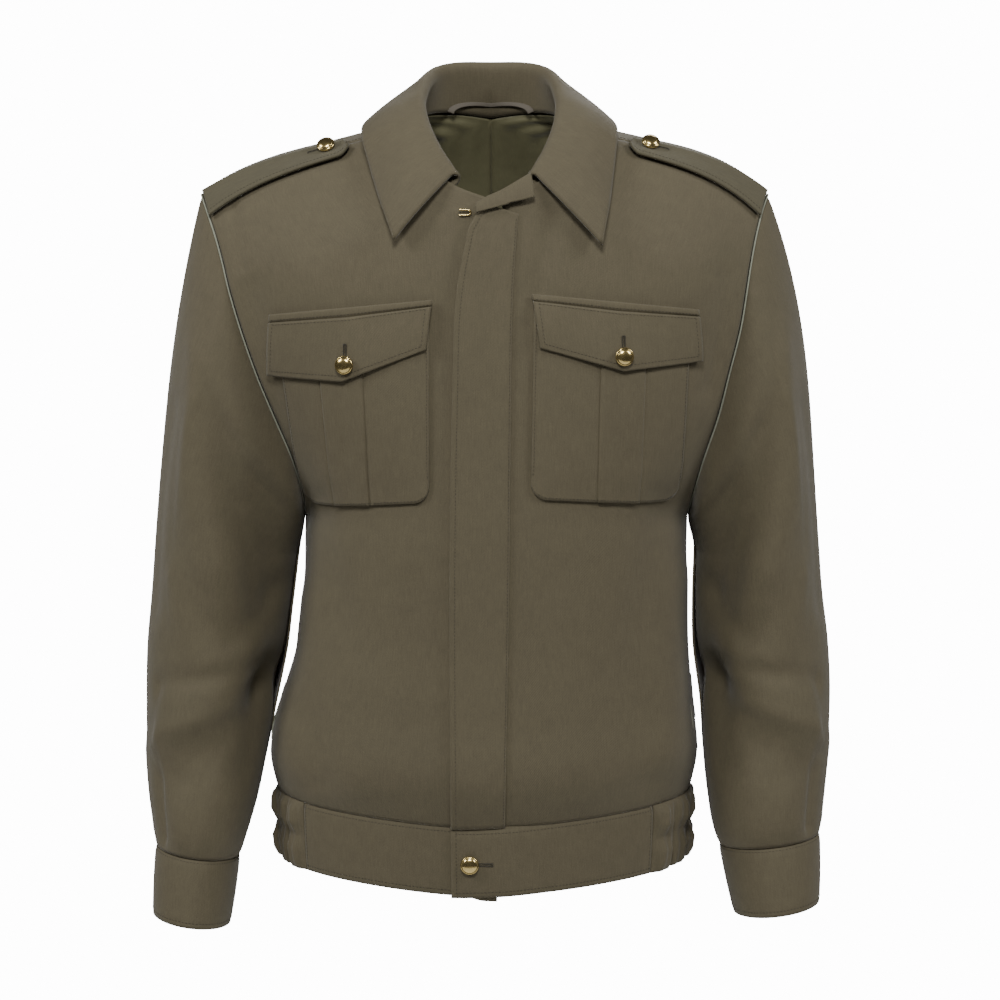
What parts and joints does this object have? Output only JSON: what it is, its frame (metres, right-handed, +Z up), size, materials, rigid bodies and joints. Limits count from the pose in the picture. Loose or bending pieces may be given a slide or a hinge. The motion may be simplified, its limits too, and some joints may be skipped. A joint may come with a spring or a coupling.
{
  "type": "field jacket",
  "caption": "Waist-length field jacket with shoulder straps, flapped chest patch pockets, a fly front and an elasticated waistband; it covers the upper body.",
  "frame": {"origin": "centre of the neck opening, level with the shoulder seams beside the neck, where the wearer carries the garment", "axes": "+X the wearer's left, -Y the front, +Y the back, +Z up"},
  "size_m": [0.6004, 0.2535, 0.7466],
  "materials": {
    "olive_gabardine": "matte",
    "olive_trim": "matte",
    "green_satin": "satin",
    "brass": "polished"
  },
  "bodies": {
    "root": {"front_left": "olive_gabardine", "front_right": "olive_gabardine", "back": "olive_gabardine", "sleeve_left": "olive_gabardine", "sleeve_right": "olive_gabardine", "cuff_left": "olive_gabardine", "cuff_right": "olive_gabardine", "collar": "olive_gabardine", "placket": "olive_gabardine", "waistband_left": "olive_gabardine", "waistband_right": "olive_gabardine", "waistband_back": "olive_gabardine", "waistband_elastic_left": "olive_gabardine", "waistband_elastic_right": "olive_gabardine", "pocket_left": "olive_gabardine", "pocket_right": "olive_gabardine", "flap_left": "olive_gabardine", "flap_right": "olive_gabardine", "epaulette_left": "olive_trim", "epaulette_right": "olive_trim", "hanger_loop": "olive_trim", "epaulette_button_left": "brass", "epaulette_button_right": "brass", "pocket_button_left": "brass", "pocket_button_right": "brass", "waistband_button": "brass", "neck_hook": "brass", "lining_back": "green_satin"}
  },
  "joints": []
}
